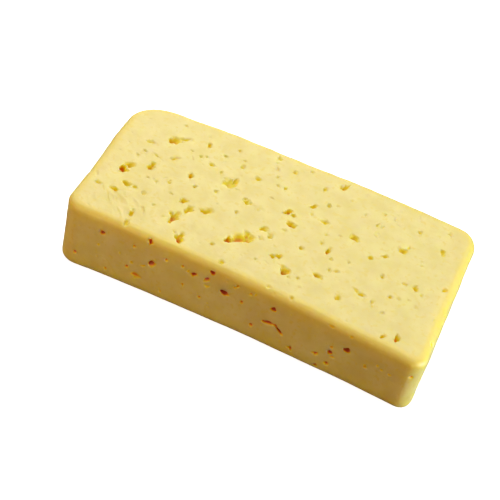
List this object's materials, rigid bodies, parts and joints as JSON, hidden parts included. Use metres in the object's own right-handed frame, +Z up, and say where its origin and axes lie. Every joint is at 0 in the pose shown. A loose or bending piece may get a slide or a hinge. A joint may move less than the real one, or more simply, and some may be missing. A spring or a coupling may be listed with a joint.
{
  "type": "cheese block",
  "caption": "Rectangular slab of semi-soft yellow cheese with rounded edges and small irregular openings, lying flat.",
  "frame": {"origin": "under the middle of the slab's box, on the surface that it rests on", "axes": "+X along the slab's length towards its thinner, wider end, +Y across it towards the back, +Z up through its thickness"},
  "size_m": [0.29, 0.1614, 0.0603],
  "materials": {
    "cheese": "pale yellow semi-soft cheese, cut and slightly moist"
  },
  "bodies": {
    "root": {"cheese_block": "cheese"}
  },
  "joints": []
}
